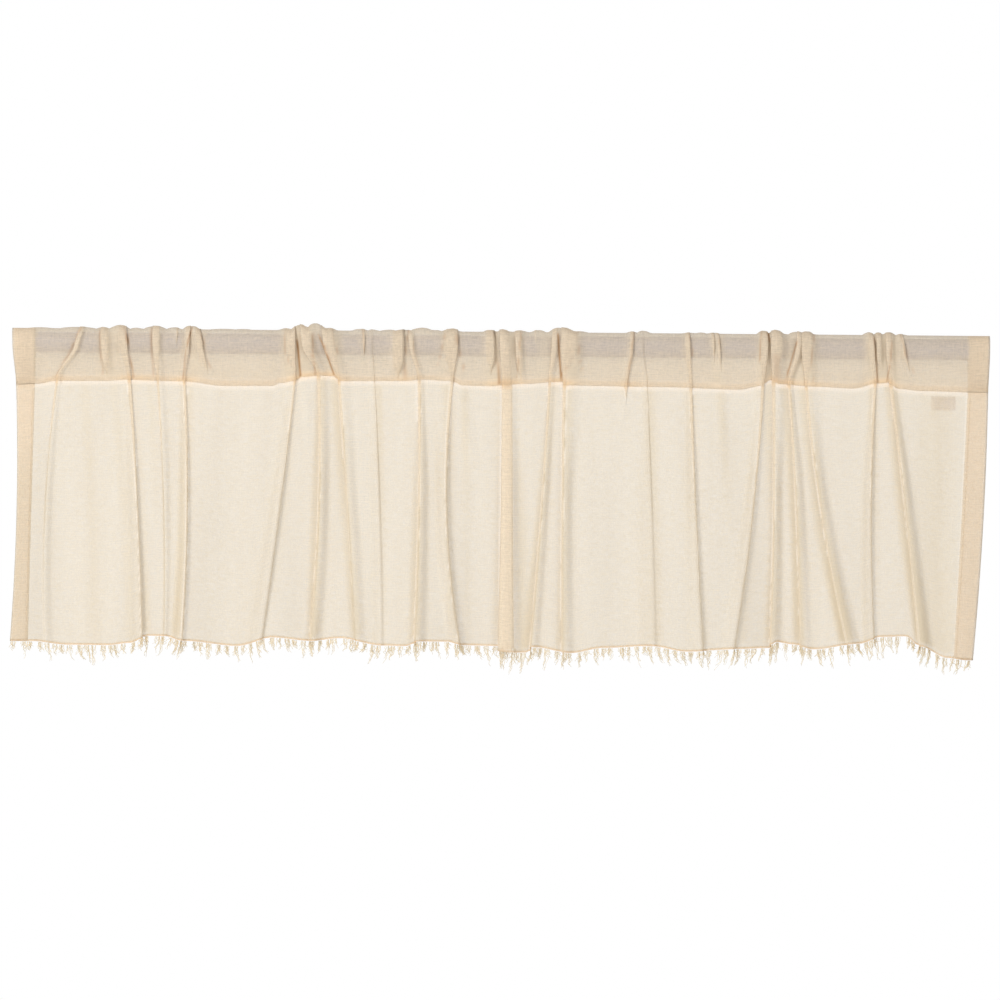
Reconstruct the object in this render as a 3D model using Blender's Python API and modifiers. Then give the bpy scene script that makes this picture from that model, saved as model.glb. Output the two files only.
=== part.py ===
# Window valance: one sheer cotton width with a rod pocket, gathered lightly on a plain rod,
# with a frayed yarn fringe along its lower hem and a blank care label behind it.
# Metres, +Z up, +X along the rod, -Y towards the room. The origin is on the rod's axis
# at the middle of its length.

from collections import namedtuple
from math import cos, pi, sin
from random import Random

import bmesh
import bpy
from mathutils import Vector

MM = 0.001

# Sizes in millimetres
ROD_DIAMETER = 25.4
ROD_LENGTH = 1138.0
ROD_EDGE = 2.0
ROD_SIDES = 32

CLOTH = 1.0
SIDE_HEM = 1.8
LOWER_HEM = 1.6
LOWER_HEM_DEEP = 3.5
ROD_GAP = 0.55
ROW_TURN = 30.0
POCKET_WIDEST = (ROD_DIAMETER / 2 + ROD_GAP + CLOTH / 2) / cos(ROW_TURN / 2 * pi / 180)
FRONT_ROW_TURNS = (180.0, 210.0, 240.0)
BACK_ROW_TURNS = (270.0, 300.0, 330.0, 360.0)
TOP_TURN = BACK_ROW_TURNS[0]
# How the pocket's depth tapers to the stitching, and where its back has left the gathers, as a
# share of the way up to the rod's axis.
POCKET_TAPER = 1.5
BACK_FOLDS_END = 0.5

# Heights, from the rod's axis
TOP_EDGE = 18.5
STITCH_LINE = -46.0
HEM_LINE = -365.0
MIDDLE_AT = 0.45

POCKET_FRONT_ROWS = (0.42, 0.75)
PANEL_ROWS = (0.08, 0.24, 0.45, 0.68, 0.88)

# Where each fold lies across the valance at the rod, the stitching, half way down and the hem,
# and how far its stitching and hem sit above or below their usual height.
Line = namedtuple("Line", "name rod stitch middle hem stitch_up hem_up")
LINES = (
    Line("left_edge", -597, -593, -591, -598, -6, 0),
    Line("left_hem_side", -570, -570, -573, -576, -5, 0),
    Line("left_pinch", -523, -547, -558, -556, -1, -2),
    Line("second_fold", -456, -450, -442, -434, 1, 4),
    Line("raised_pleat", -423, -425, -413, -411, 0, 9),
    Line("third_fold", -384, -386, -383, -388, 0, 5),
    Line("deep_slit", -252, -253, -268, -290, 2, 3),
    Line("strong_fold", -228, -220, -222, -232, 9, 2),
    Line("leaning_fold", -197, -203, -188, -177, 6, 4),
    Line("short_fold", -158, -156, -148, -143, 2, -2),
    Line("long_fold", -108, -100, -100, -104, 4, 2),
    Line("curved_fold", -54, -61, -67, -49, 2, 0),
    Line("wide_pleat", 1, 6, 7, 7, -1, -6),
    Line("crossing_fold", 47, 53, 46, 38, 2, -6),
    Line("centre_fold", 71, 75, 75, 76, 1, -6),
    Line("faint_fold", 156, 168, 183, 190, -2, -1),
    Line("right_fold", 231, 232, 238, 249, -3, -5),
    Line("bundle_left", 313, 318, 308, 286, 3, -2),
    Line("bundle_middle", 326, 333, 333, 330, 3, 2),
    Line("bundle_right", 345, 352, 361, 368, 2, 3),
    Line("slanting_fold", 378, 374, 390, 423, 0, 3),
    Line("upright_fold", 452, 452, 450, 456, 1, 12),
    Line("last_fold", 476, 476, 492, 511, 2, 6),
    Line("right_hem_side", 568, 568, 562, 553, -5, -12),
    Line("right_edge", 594, 593, 589, 577, -5, -14),
)

# How wide and deep each fold is at the rod, half way down and at the hem. side says which way its
# steep flank faces, 1 right and -1 left, and tuck how far that flank passes under the fold's crest.
# A fold with side 0 is even and open.
Form = namedtuple("Form", "wide_rod wide_middle wide_hem deep_rod deep_middle deep_hem side tuck")
FORMS = {
    "left_pinch": Form(11, 14, 18, 4, 5, 4, 0, 0),
    "second_fold": Form(12, 16, 18, 5, 9, 11, -1, 3.2),
    "raised_pleat": Form(10, 12, 10, 4, 3, 2, 0, 0),
    "third_fold": Form(12, 16, 18, 5, 9, 11, 1, 3.2),
    "deep_slit": Form(13, 20, 30, 7, 8, 8, 1, 2.4),
    "strong_fold": Form(14, 17, 21, 8, 11, 12, -1, 3.5),
    "leaning_fold": Form(13, 19, 26, 6, 8, 8, -1, 2.4),
    "short_fold": Form(12, 18, 18, 3, 4, 4, 0, 0),
    "long_fold": Form(12, 16, 21, 5, 10, 12, -1, 3.3),
    "curved_fold": Form(13, 17, 22, 5, 10, 12, 1, 3.3),
    "wide_pleat": Form(17, 22, 28, 6, 11, 12, -1, 6.4),
    "crossing_fold": Form(11, 14, 18, 4, 8, 11, -1, 2.4),
    "centre_fold": Form(15, 17, 23, 7, 10, 12, -1, 3.6),
    "faint_fold": Form(13, 23, 34, 3, 5, 7, 0, 0),
    "right_fold": Form(12, 18, 26, 5, 9, 10, 1, 3.0),
    "bundle_left": Form(12, 18, 27, 6, 9, 9, 1, 2.6),
    "bundle_middle": Form(11, 15, 22, 6, 10, 11, -1, 3.4),
    "bundle_right": Form(13, 17, 23, 6, 10, 11, -1, 3.2),
    "slanting_fold": Form(13, 17, 22, 6, 10, 11, -1, 3.2),
    "upright_fold": Form(11, 15, 17, 4, 8, 9, 1, 2.6),
    "last_fold": Form(13, 18, 27, 6, 10, 11, 1, 3.2),
}
# Share of a fold's width that its gentle flank takes, and of its steep flank that lies before its line.
GENTLE = 0.64
LINE_AT = 0.5
# Share of a fold's depth that is left where it is sewn flat, how far down the panel it is fully
# tucked, and the share of its tuck that is left at the hem.
STITCHED = 0.55
TUCKED_BY = 0.2
HEM_TUCK = 0.6

# Crests of cloth that the gathers push up above the top edge: place, height, half width.
Crest = namedtuple("Crest", "x up half")
CRESTS = (
    Crest(-467, 3, 10),
    Crest(-423, 2, 9),
    Crest(-380, 2, 10),
    Crest(-245, 5, 7),
    Crest(-231, 7, 8),
    Crest(-96, 3, 12),
    Crest(-61, 2, 10),
    Crest(72, 5, 17),
    Crest(172, 2, 9),
    Crest(326, 4, 12),
    Crest(370, 2, 16),
    Crest(446, 1, 9),
    Crest(471, 2, 11),
)

# Broad billows of the panel between its folds: wave length, depth at the hem, start.
Billow = namedtuple("Billow", "length deep start")
BILLOWS = (Billow(310, 7, 0.6), Billow(173, 5, 2.1), Billow(97, 2.5, 4.0))
EDGE_STILL = 40.0

# Places in a fold with a column of points: -1 and 1 are its ends, 0 its crest. A tucked fold's
# steep flank is at 0 to 1, or at 0 to -1 where it faces left.
TUCKED_COLUMNS = (-1.0, -0.5, 0.0, 0.32, 0.7, 1.0)
OPEN_COLUMNS = (-1.0, -0.4, 0.4, 1.0)
WIDEST_PLAIN = 55.0

FRINGE_GAP = 0.52
FRINGE_STRIP_DEEP = 2.0
FRINGE_STRIP_THICK = 1.3
LOCKS = 156
FIRST_LOCK = 0.5
LOCK_ROOT = 1.9
LEAST_SPACE = 0.7
LOCK_LENGTH = (17.0, 26.0)
# How far down a lock each of its sections is, and how wide beside its root.
LOCK_STEPS = ((0.5, 0.9), (1.0, 0.45))
LOCK_LEAN = 2.6
LOCK_NOD = 1.0
SWAY_EACH = 0.9
NOD_EACH = 0.53
LOCK_SEED = 7

LABEL_LEFT = 523.5
LABEL_WIDE = 30.0
LABEL_TOP = -57.0
LABEL_DEEP = 17.0
LABEL_THICK = 1.0
LABEL_GAP = 0.75
LABEL_COLUMNS = 4

COLOURS = {
    "cotton_gauze": ((0.84, 0.77, 0.65), 0.9, 0.0),
    "rod_metal": ((0.42, 0.42, 0.43), 0.4, 0.8),
    "yarn_fringe": ((0.88, 0.83, 0.72), 0.9, 0.0),
    "label_tape": ((0.86, 0.82, 0.76), 0.8, 0.0),
}


def mix(a, b, share):
    return a + (b - a) * share


def ease(share):
    share = min(max(share, 0.0), 1.0)
    return share * share * (3 - 2 * share)


def through_three(top, middle, low, share):
    """A smooth line through a value at 0, at MIDDLE_AT and at 1."""
    a = (share - MIDDLE_AT) * (share - 1) / MIDDLE_AT
    b = share * (share - 1) / (MIDDLE_AT * (MIDDLE_AT - 1))
    c = share * (share - MIDDLE_AT) / (1 - MIDDLE_AT)
    return top * a + middle * b + low * c


def hump(q):
    return (1 + cos(pi * q)) / 2 if abs(q) < 1 else 0.0


def fold_at(line, down):
    """Crest, width and depth of a fold. down is -1 at the rod, 0 at the stitching, 1 at the hem."""
    form = FORMS.get(line.name)
    if down < 0:
        share = ease(-down)
        x = mix(line.stitch, line.rod, share)
    else:
        x = through_three(line.stitch, line.middle, line.hem, down)
    if form is None:
        return x, 0.0, 0.0
    stitched = STITCHED * form.deep_rod
    if down < 0:
        wide, deep = form.wide_rod, mix(stitched, form.deep_rod, share)
    elif down < MIDDLE_AT:
        share = ease(down / MIDDLE_AT)
        wide = mix(form.wide_rod, form.wide_middle, share)
        deep = mix(stitched, form.deep_middle, share)
    else:
        share = (down - MIDDLE_AT) / (1 - MIDDLE_AT)
        wide = mix(form.wide_middle, form.wide_hem, share)
        deep = mix(form.deep_middle, form.deep_hem, share)
    return x - form.side * LINE_AT * (1 - GENTLE) * wide, wide, deep


def flanks(line, wide):
    """Widths of a fold's left and right flank."""
    form = FORMS.get(line.name)
    if form is None or form.side == 0:
        return wide / 2, wide / 2
    gentle = wide * GENTLE
    return (gentle, wide - gentle) if form.side > 0 else (wide - gentle, gentle)


def columns():
    """The cloth's columns from left to right, each a fold with a place in it or a share of the
    plain stretch between two folds."""
    made = []
    for left, right in zip(LINES, LINES[1:]):
        if left.name in FORMS:
            side = FORMS[left.name].side
            places = sorted(q * side for q in TUCKED_COLUMNS) if side else OPEN_COLUMNS
            made += [(left, left, q) for q in places]
        else:
            made.append((left, left, 0.0))
        wide = abs(right.hem - left.hem)
        steps = int(wide // WIDEST_PLAIN) + 1
        made += [(left, right, i / steps) for i in range(1, steps)]
    made.append((LINES[-1], LINES[-1], 0.0))
    return made


def flat_x(column, down):
    """Where a column lies across the valance, before its fold tucks under."""
    left, right, place = column
    crest_x, wide, _ = fold_at(left, down)
    before, after = flanks(left, wide)
    if left is right:
        return crest_x + place * (after if place > 0 else before)
    far_x, far_wide, _ = fold_at(right, down)
    return mix(crest_x + after, far_x - flanks(right, far_wide)[0], place)


def raised(x, where, up):
    """How far the stitching or the hem lies above its usual height at x, eased between the folds."""
    for left, right in zip(LINES, LINES[1:]):
        start, end = getattr(left, where), getattr(right, where)
        if x <= end:
            return mix(getattr(left, up), getattr(right, up), ease((x - start) / (end - start)))
    return getattr(LINES[-1], up)


def stitch_height(column):
    return STITCH_LINE + raised(flat_x(column, 0.0), "stitch", "stitch_up")


def hem_height(column):
    return HEM_LINE + raised(flat_x(column, 1.0), "hem", "hem_up")


def billow(x, down):
    """How far the panel swells to and fro, growing towards the hem and still at both edges."""
    near_edge = min(x - LINES[0].middle, LINES[-1].middle - x)
    grown = ease(near_edge / EDGE_STILL) * ease(down) if down > 0 else 0.0
    return grown * sum(b.deep * sin(2 * pi * x / b.length + b.start) for b in BILLOWS)


def fold_offset(column, down, tucked):
    """Sideways and forward shift of a column that lies in a fold."""
    left, right, place = column
    form = FORMS.get(left.name)
    if left is not right or form is None:
        return 0.0, 0.0
    _, wide, deep = fold_at(left, down)
    steep = wide * (1 - GENTLE) if place * form.side > 0 else 0.0
    sideways = form.side * steep * form.tuck * sin(2 * pi * abs(place)) / (2 * pi)
    return tucked * sideways, deep * hump(place)


def pocket_half(z, stitch):
    """Half the pocket's depth from front to back at height z below the rod's axis."""
    return POCKET_WIDEST * (1 - (z / stitch) ** POCKET_TAPER)


def crest(x):
    return sum(c.up * hump((x - c.x) / c.half) for c in CRESTS)


def panel_point(column, down):
    """A point of the single panel, from the stitching at 0 to the hem at 1."""
    x = flat_x(column, down)
    tucked = ease(down / TUCKED_BY) * mix(1.0, HEM_TUCK, down)
    side, forward = fold_offset(column, down, tucked)
    z = mix(stitch_height(column), hem_height(column), down)
    return Vector((x + side, billow(x, down) - forward, z))


def pocket_point(column, turn, share):
    """A point of the pocket. Below the rod, share runs from the stitching at 0 to the rod at 1.
    Over the rod, turn is the angle round it, 180 in front and 360 behind."""
    stitch = stitch_height(column)
    front = turn < TOP_TURN
    x = flat_x(column, -share)
    side, forward = fold_offset(column, -share, share)
    if share < 1.0:
        z = mix(stitch, 0.0, share)
        half = pocket_half(z, stitch)
        y = -half - forward if front else half - forward * (1 - ease(share / BACK_FOLDS_END))
    else:
        angle = turn * pi / 180
        high = TOP_EDGE + crest(x)
        z = -high * sin(angle)
        fade = max(0.0, -cos(angle))
        y = POCKET_WIDEST * cos(angle) - forward * fade
        side *= fade
    if not front:
        side *= 1 - ease(share / BACK_FOLDS_END)
    return Vector((x + side, y, z))


def cloth_rows():
    """Each row as a function of a column, from the hem up the front, over the rod and down behind."""
    hem_top = 1 - LOWER_HEM_DEEP / (STITCH_LINE - HEM_LINE)
    rows = [lambda c, d=d: panel_point(c, d) for d in (1.0, hem_top)]
    rows += [lambda c, d=d: panel_point(c, d) for d in reversed(PANEL_ROWS)]
    rows.append(lambda c: panel_point(c, 0.0))
    rows += [lambda c, s=s: pocket_point(c, 180.0, s) for s in POCKET_FRONT_ROWS]
    rows += [lambda c, t=t: pocket_point(c, t, 1.0) for t in FRONT_ROW_TURNS + BACK_ROW_TURNS]
    rows += [lambda c, s=s: pocket_point(c, 360.0, s) for s in reversed(POCKET_FRONT_ROWS)]
    return rows


def material(name):
    colour, rough, metal = COLOURS[name]
    made = bpy.data.materials.new(name)
    made.use_nodes = True
    shader = made.node_tree.nodes["Principled BSDF"]
    shader.inputs["Base Color"].default_value = (*colour, 1.0)
    shader.inputs["Roughness"].default_value = rough
    shader.inputs["Metallic"].default_value = metal
    return made


def new_object(name, mesh, material_name, collection):
    mesh.materials.append(material(material_name))
    made = bpy.data.objects.new(name, mesh)
    collection.objects.link(made)
    return made


def grid_mesh(name, rows, joined=None):
    """A mesh of quads between rows of points. joined names a row that the last row also meets."""
    shape = bmesh.new()
    points = [[shape.verts.new(p * MM) for p in row] for row in rows]
    if joined is not None:
        points.append(points[joined])
    for low, high in zip(points, points[1:]):
        for i in range(len(low) - 1):
            shape.faces.new((low[i], low[i + 1], high[i + 1], high[i]))
    mesh = bpy.data.meshes.new(name)
    shape.to_mesh(mesh)
    shape.free()
    return mesh


def thicken(made, thickness, group=None):
    """Gives an open surface its thickness, half to each side."""
    solid = made.modifiers.new("thickness", "SOLIDIFY")
    solid.solidify_mode = "NON_MANIFOLD"
    solid.nonmanifold_boundary_mode = "NONE"
    solid.nonmanifold_thickness_mode = "CONSTRAINTS"
    solid.thickness = thickness * MM
    solid.offset = 0.0
    if group:
        solid.vertex_group = group
    return solid


def build_cloth(collection):
    across = columns()
    rows = [[point(c) for c in across] for point in cloth_rows()]
    stitch_row = 2 + len(PANEL_ROWS)
    mesh = grid_mesh("valance_cloth", rows, joined=stitch_row)
    made = new_object("valance_cloth", mesh, "cotton_gauze", collection)
    group = made.vertex_groups.new(name="layers")
    wide = len(across)
    for i in range(len(rows) * wide):
        row, column = divmod(i, wide)
        weight = CLOTH / SIDE_HEM
        if row < 2:
            weight = LOWER_HEM / SIDE_HEM
        if column < 2 or column >= wide - 2:
            weight = 1.0
        group.add([i], weight, "REPLACE")
    thicken(made, SIDE_HEM, "layers")
    return made


def build_rod(collection):
    shape = bmesh.new()
    bmesh.ops.create_cone(
        shape,
        cap_ends=True,
        segments=ROD_SIDES,
        radius1=ROD_DIAMETER / 2 * MM,
        radius2=ROD_DIAMETER / 2 * MM,
        depth=ROD_LENGTH * MM,
    )
    mesh = bpy.data.meshes.new("curtain_rod")
    shape.to_mesh(mesh)
    shape.free()
    mesh.shade_smooth()
    made = new_object("curtain_rod", mesh, "rod_metal", collection)
    made.rotation_euler = (0.0, pi / 2, 0.0)
    rounded = made.modifiers.new("rounded ends", "BEVEL")
    rounded.width = ROD_EDGE * MM
    rounded.segments = 1
    rounded.limit_method = "ANGLE"
    rounded.angle_limit = pi / 3
    return made


def hem_path():
    """Points along the hem's fold, each with True where a lock's root runs from it to the next."""
    corners = [panel_point(c, 1.0) for c in columns()]
    whole = sum((b - a).length for a, b in zip(corners, corners[1:]))
    pitch = whole / LOCKS
    path, due = [], FIRST_LOCK
    for a, b in zip(corners, corners[1:]):
        long = (b - a).length
        due += long / pitch
        count = min(int(due), int(long / (LOCK_ROOT + LEAST_SPACE)))
        due -= count
        path.append((a, False))
        for k in range(count):
            middle = (k + 0.5) / count
            reach = LOCK_ROOT / 2 / long
            path.append((a.lerp(b, middle - reach), True))
            path.append((a.lerp(b, middle + reach), False))
    path.append((corners[-1], False))
    return path


def build_fringe(collection):
    path = hem_path()
    top = [p - Vector((0, 0, FRINGE_GAP)) for p, _ in path]
    count = len(top)
    deep = Vector((0, 0, FRINGE_STRIP_DEEP))
    shape = bmesh.new()
    rings = []
    for i, p in enumerate(top):
        way = top[min(i + 1, count - 1)] - top[max(i - 1, 0)]
        side = Vector((-way.y, way.x, 0)).normalized() * FRINGE_STRIP_THICK / 2
        ring = (p - side, p + side, p + side - deep, p - side - deep)
        rings.append([shape.verts.new(v * MM) for v in ring])
    roots = []
    for (a, b), (_, rooted) in zip(zip(rings, rings[1:]), path):
        faces = [shape.faces.new((a[k], b[k], b[(k + 1) % 4], a[(k + 1) % 4])) for k in range(4)]
        if rooted:
            roots.append(faces[2])
    shape.faces.new(rings[0])
    shape.faces.new(reversed(rings[-1]))
    chance = Random(LOCK_SEED)
    for number, root in enumerate(roots):
        grow_lock(shape, root, number, chance)
    bmesh.ops.recalc_face_normals(shape, faces=shape.faces[:])
    mesh = bpy.data.meshes.new("hem_fringe")
    shape.to_mesh(mesh)
    shape.free()
    return new_object("hem_fringe", mesh, "yarn_fringe", collection)


def grow_lock(shape, root, number, chance):
    """Draws one lock of yarn down from its root, narrowing and leaning as it goes."""
    length = chance.uniform(*LOCK_LENGTH)
    sway = sin(number * SWAY_EACH) + chance.uniform(-1.0, 1.0)
    lean = LOCK_LEAN * sway / 2
    forward = LOCK_NOD * sin(number * NOD_EACH)
    start = root.calc_center_median()
    face, usual = root, 1.0
    for down, width in LOCK_STEPS:
        face = bmesh.ops.extrude_discrete_faces(shape, faces=[face])["faces"][0]
        centre = face.calc_center_median()
        middle = start + Vector((lean * down * down, forward * down, -length * down)) * MM
        for v in face.verts:
            v.co = middle + (v.co - centre) * width / usual
        usual = width


def build_label(collection):
    """A flat tab that follows the back of the panel, sewn on just below the stitching."""
    thick = LABEL_THICK + CLOTH
    rows = []
    for z in (LABEL_TOP, LABEL_TOP - LABEL_DEEP):
        row = []
        for i in range(LABEL_COLUMNS + 1):
            x = LABEL_LEFT + LABEL_WIDE * i / LABEL_COLUMNS
            down = (STITCH_LINE - z) / (STITCH_LINE - HEM_LINE)
            row.append(Vector((x, billow(x, down) + thick / 2 + LABEL_GAP, z)))
        rows.append(row)
    made = new_object("care_label", grid_mesh("care_label", rows), "label_tape", collection)
    thicken(made, LABEL_THICK)
    return made


def main():
    for old in list(bpy.data.objects):
        bpy.data.objects.remove(old)
    collection = bpy.data.collections.new("window_valance")
    bpy.context.scene.collection.children.link(collection)
    build_rod(collection)
    build_cloth(collection)
    build_fringe(collection)
    build_label(collection)


main()
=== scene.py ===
from collections import namedtuple
from math import cos, pi, radians, sin
from random import Random

import bpy
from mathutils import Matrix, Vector


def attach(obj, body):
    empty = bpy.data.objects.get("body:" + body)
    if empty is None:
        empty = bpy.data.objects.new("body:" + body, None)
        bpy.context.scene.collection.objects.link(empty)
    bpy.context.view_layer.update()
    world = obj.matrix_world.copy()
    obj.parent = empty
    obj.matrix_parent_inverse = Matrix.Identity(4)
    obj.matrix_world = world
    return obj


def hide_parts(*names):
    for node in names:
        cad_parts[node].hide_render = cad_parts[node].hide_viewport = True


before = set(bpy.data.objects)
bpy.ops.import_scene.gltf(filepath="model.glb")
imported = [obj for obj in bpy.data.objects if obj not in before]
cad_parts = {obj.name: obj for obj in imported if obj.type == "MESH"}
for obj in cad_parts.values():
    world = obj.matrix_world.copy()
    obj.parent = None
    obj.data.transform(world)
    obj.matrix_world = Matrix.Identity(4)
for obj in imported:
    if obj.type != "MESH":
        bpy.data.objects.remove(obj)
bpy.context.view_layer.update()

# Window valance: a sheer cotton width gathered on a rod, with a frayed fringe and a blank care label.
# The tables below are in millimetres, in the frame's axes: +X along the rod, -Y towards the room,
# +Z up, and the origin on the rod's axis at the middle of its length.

MM = 0.001


def table(kind, *rows):
    """Rows of values as named tuples of one kind."""
    return tuple(kind(*row) for row in rows)


# The view. A pixel of the photograph is PIXEL millimetres at the object, and the object's
# middle of the rod lies at ROD_MIDDLE in it.
PHOTO_WIDE = 1000
PIXEL = 1.22
ROD_MIDDLE = (502.5, 346.0)
ROLL = 0.0085
CAMERA_FAR = 8.0
SENSOR = 36.0

# Driving sizes
ROD_RADIUS = 12.7
GAUZE = 0.3
POCKET_GAP = 0.6
POCKET_WIDEST = ROD_RADIUS + POCKET_GAP
TOP_EDGE = 17.2
STITCH_LINE = -46.0
HEM_LINE = -365.0
MIDDLE_AT = 0.45
LOWER_HEM_DEEP = 2.3

# The folds, from left to right: where the middle of each one's overlap lies at the rod's axis, the
# stitching, half way down and the hem; which way its steep flank faces, 1 right and -1 left; how
# wide and deep it is at the rod, half way down and at the hem; and how far its steep flank laps
# over and back under it at the rod, the stitching, half way down and the hem.
Fold = namedtuple(
    "Fold",
    "name rod stitch middle hem side wide_rod wide_middle wide_hem deep_rod deep_middle deep_hem "
    "lap_rod lap_stitch lap_middle lap_hem",
    defaults=[0] * 11,
)
FOLDS = table(
    Fold,
    ("left_edge", -597, -593, -591, -598),
    ("left_hem_side", -570, -570, -573, -576),
    ("left_pinch", -518, -543, -556, -556, -1, 9, 12, 14, 4, 4, 3, 3.8, 2.0, 0.4, 0.0),
    ("second_fold", -462, -455, -444, -436, 1, 14, 16, 18, 5, 8, 9, 6.6, 3.4, 2.1, 2.3),
    ("raised_pleat", -422, -420, -412, -410, -1, 12, 12, 8, 5, 4, 3, 5.6, 2.2, 0.4, 0.0),
    ("third_fold", -384, -388, -383, -388, 1, 9, 14, 16, 5, 8, 9, 3.6, 2.5, 2.1, 2.3),
    ("deep_slit", -258, -253, -268, -290, 1, 16, 18, 28, 7, 8, 7, 7.6, 2.7, 1.4, 1.1),
    ("strong_fold", -238, -224, -222, -232, -1, 17, 16, 20, 7, 10, 10, 8.1, 3.4, 2.3, 2.5),
    ("leaning_fold", -211, -199, -188, -177, -1, 20, 17, 20, 6, 7, 7, 9.4, 3.2, 1.8, 1.4),
    ("short_fold", -158, -156, -148, -143, 1, 11, 16, 16, 2, 4, 4, 0.0, 1.2, 0.4, 0.0),
    ("long_fold", -111, -101, -100, -104, -1, 9, 15, 19, 4, 9, 10, 3.3, 2.8, 2.3, 2.5),
    ("curved_fold", -63, -61, -67, -49, 1, 24, 17, 20, 5, 9, 10, 11.4, 3.8, 2.3, 2.5),
    ("wide_pleat", 3, 6, 7, 7, -1, 17, 20, 26, 6, 10, 11, 8.0, 8.0, 9.0, 12.2),
    ("crossing_fold", 63, 58, 50, 37, -1, 9, 12, 16, 4, 6, 8, 4.3, 2.2, 1.8, 2.1),
    ("centre_fold", 81, 76, 75, 76, -1, 28, 17, 20, 6, 9, 10, 13.2, 4.2, 2.5, 2.6),
    ("faint_fold", 172, 177, 184, 190, 1, 10, 20, 30, 2, 4, 6, 0.0, 0.8, 0.7, 0.6),
    ("right_fold", 226, 230, 237, 248, 1, 9, 16, 24, 4, 8, 8, 3.8, 2.7, 1.9, 1.5),
    ("bundle_left", 319, 318, 308, 286, 1, 12, 15, 24, 6, 8, 7, 5.6, 2.7, 1.8, 1.4),
    ("bundle_middle", 334, 331, 333, 330, -1, 20, 14, 19, 6, 8, 9, 9.4, 3.6, 2.2, 2.4),
    ("bundle_right", 360, 350, 360, 367, -1, 8, 15, 20, 6, 9, 9, 3.8, 2.5, 2.2, 2.4),
    ("slanting_fold", 371, 371, 389, 423, -1, 19, 16, 22, 5, 8, 9, 9.0, 3.3, 2.2, 2.5),
    ("upright_fold", 450, 455, 451, 456, 1, 9, 14, 17, 5, 7, 8, 4.2, 2.5, 1.7, 1.3),
    ("last_fold", 471, 474, 492, 511, -1, 11, 16, 24, 5, 9, 9, 5.0, 3.2, 2.2, 2.5),
    ("right_hem_side", 568, 568, 562, 553),
    ("right_edge", 594, 593, 589, 577),
)
# Share of a fold's width that its gentle flank takes, and of its steep flank that lies before the
# middle of its overlap; share of its depth that is left where it is sewn; and how far its slant
# carries on above the rod's axis.
GENTLE = 0.64
LINE_AT = 0.5
STITCHED = 0.55
SLANT_ON = 0.6

# Pleats that only the heading's gathers hold: place at the rod's axis and at the stitching, side,
# width, depth and lap as for the folds, and the height of their foot.
Pleat = namedtuple("Pleat", "name rod stitch side wide deep lap foot")
PLEATS = table(
    Pleat,
    ("opaque_left", -485, -482, -1, 12.4, 4.5, 5.8, -34),
    ("faint_left", -397, -399, 1, 6, 2.0, 1.8, 2),
    ("leaning_left", -369, -356, 1, 11, 4.0, 5.2, -30),
    ("thin_ridge", -169, -168, 1, 5, 2.4, 1.8, -12),
    ("pale_band", -127, -127, 1, 20, 4.5, 9.4, -34),
    ("pale_column", -15, -13, 1, 16, 4.5, 7.4, -28),
    ("beside_centre", 19.6, 23, -1, 10, 4.5, 4.7, -36),
    ("small_line", 40, 42, -1, 5, 2.0, 1.4, 8),
    ("light_ridge", 157, 151, 1, 8, 3.0, 3.2, -60),
    ("thin_first", 257, 262, 1, 5, 2.4, 2.2, -10),
    ("thin_second", 263.6, 270, 1, 5.4, 2.6, 2.4, -22),
    ("inner_right", 458.4, 460.4, -1, 8, 4.0, 3.7, -22),
    ("slanting_right", 489, 503, 1, 7, 3.0, 2.8, -24),
)
# How a pleat's foot fades out: over what height, and how far below its foot it ends.
PLEAT_FADE = 26.0
PLEAT_RUNS_ON = 11.0

# A fold's form at one height: its crest, its reach to the left and right, its depth and its lap.
Form = namedtuple("Form", "x before after deep lap")

# Heights of the sewn line and of the lower hem, which rise into the gathers and sag between them.
Height = namedtuple("Height", "x z")
STITCH_HEIGHTS = table(
    Height,
    (-592, -52), (-568, -51), (-544, -47), (-481, -46.5), (-461, -45), (-388, -46.4), (-339, -51.5),
    (-280, -51), (-271, -47.4), (-253, -45), (-244, -40), (-224, -38), (-206, -38.5), (-199, -44.4),
    (-117, -43.7), (-98, -41.8), (-61, -43.2), (-49, -48.5), (-16, -49), (27, -46), (71, -43.3),
    (80, -47.4), (195, -48.4), (290, -50.7), (316, -46), (327, -39), (338, -43.5), (378, -46.2),
    (430, -48.2), (456, -42), (471, -41), (483, -48), (512, -50.5), (582, -51.8),
)
HEM_HEIGHTS = table(
    Height,
    (-595, -365), (-570, -365), (-529, -369.3), (-478, -369), (-452, -366), (-428, -357),
    (-409, -357.3), (-386, -363), (-321, -368.8), (-277, -358), (-232, -362), (-195, -358.3),
    (-145, -366.6), (-115, -367), (-99, -361), (-65, -361.2), (-44, -365.7), (0, -366.3), (14, -374),
    (32, -374), (40, -367), (87, -373.8), (126, -367.4), (184, -364.5), (227, -370.8), (293, -367.2),
    (327, -366), (337, -358.5), (358, -361.3), (382, -367), (438, -359.5), (465, -351), (495, -350),
    (512, -362), (546, -376), (570, -378.6),
)

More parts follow.
